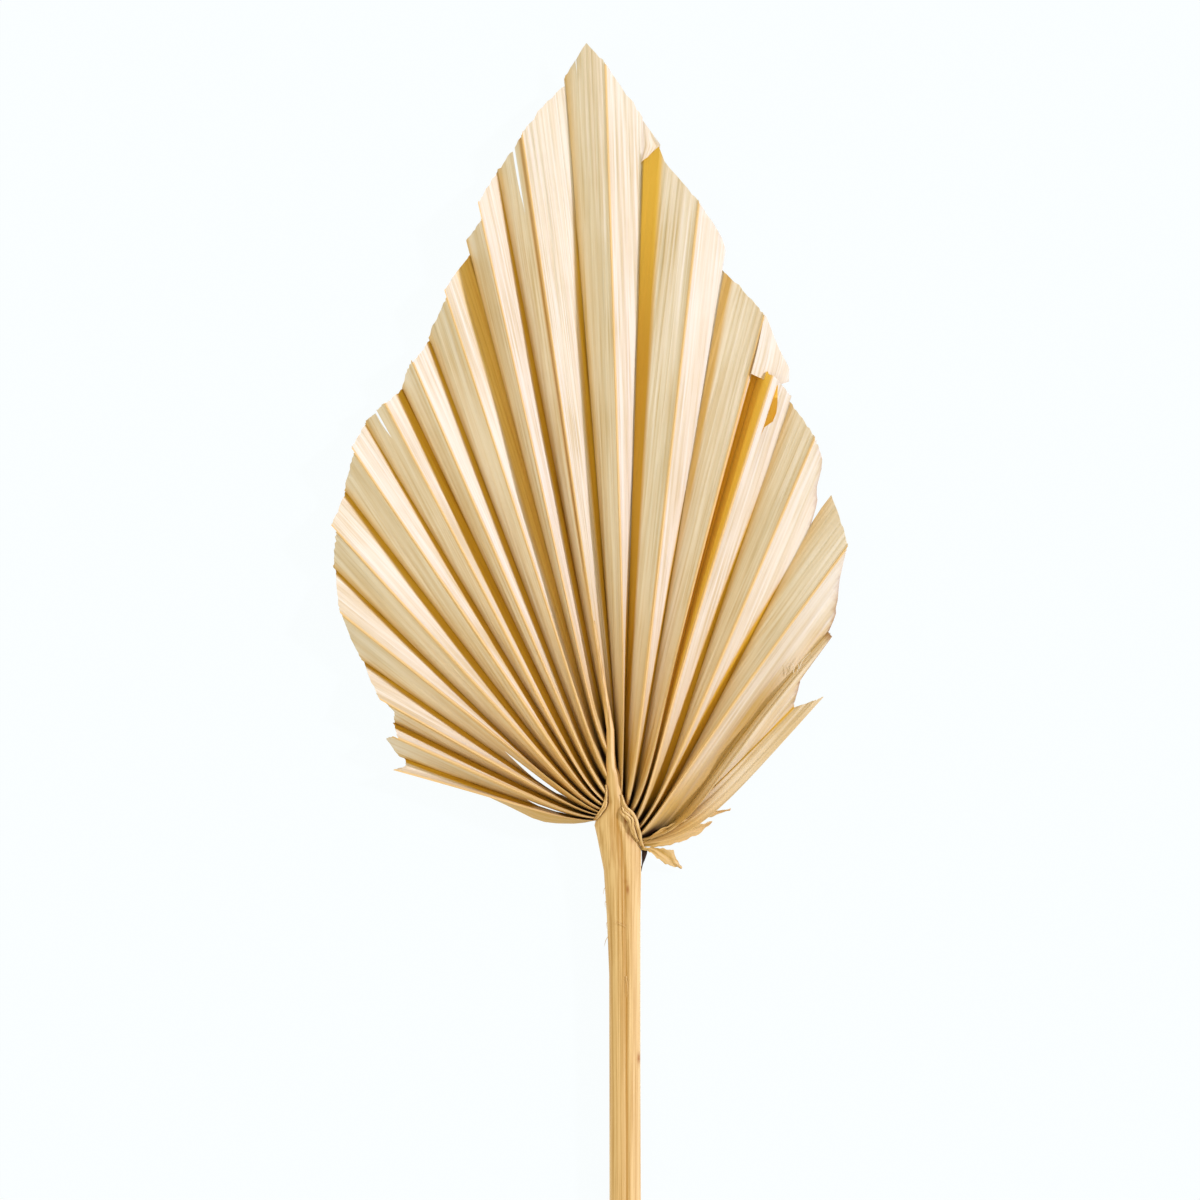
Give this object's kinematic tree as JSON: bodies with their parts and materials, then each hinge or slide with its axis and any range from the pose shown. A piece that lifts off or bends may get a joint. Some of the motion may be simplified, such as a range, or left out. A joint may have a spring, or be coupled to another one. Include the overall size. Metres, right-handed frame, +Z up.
{
  "type": "fan palm leaf",
  "caption": "Dried fan palm leaf trimmed to a spear shape: a stiff pleated blade that fans out from the tip of a long, flattened, cut stalk.",
  "frame": {"origin": "bottom centre of the box around the whole leaf, on the surface that it lies on", "axes": "+Y along the leaf from the cut end of the stalk to the blade's tip, +Z up out of the side of the blade where the stalk's finger shows, +X to the right as seen from above"},
  "size_m": [0.1318, 0.4198, 0.0086],
  "materials": {
    "dry_blade": "matte, fine parallel veins",
    "dry_stalk": "satin, lengthwise fibres"
  },
  "bodies": {
    "root": {"blade": "dry_blade", "petiole": "dry_stalk", "scrap_upper": "dry_blade", "scrap_lower": "dry_blade"}
  },
  "joints": []
}
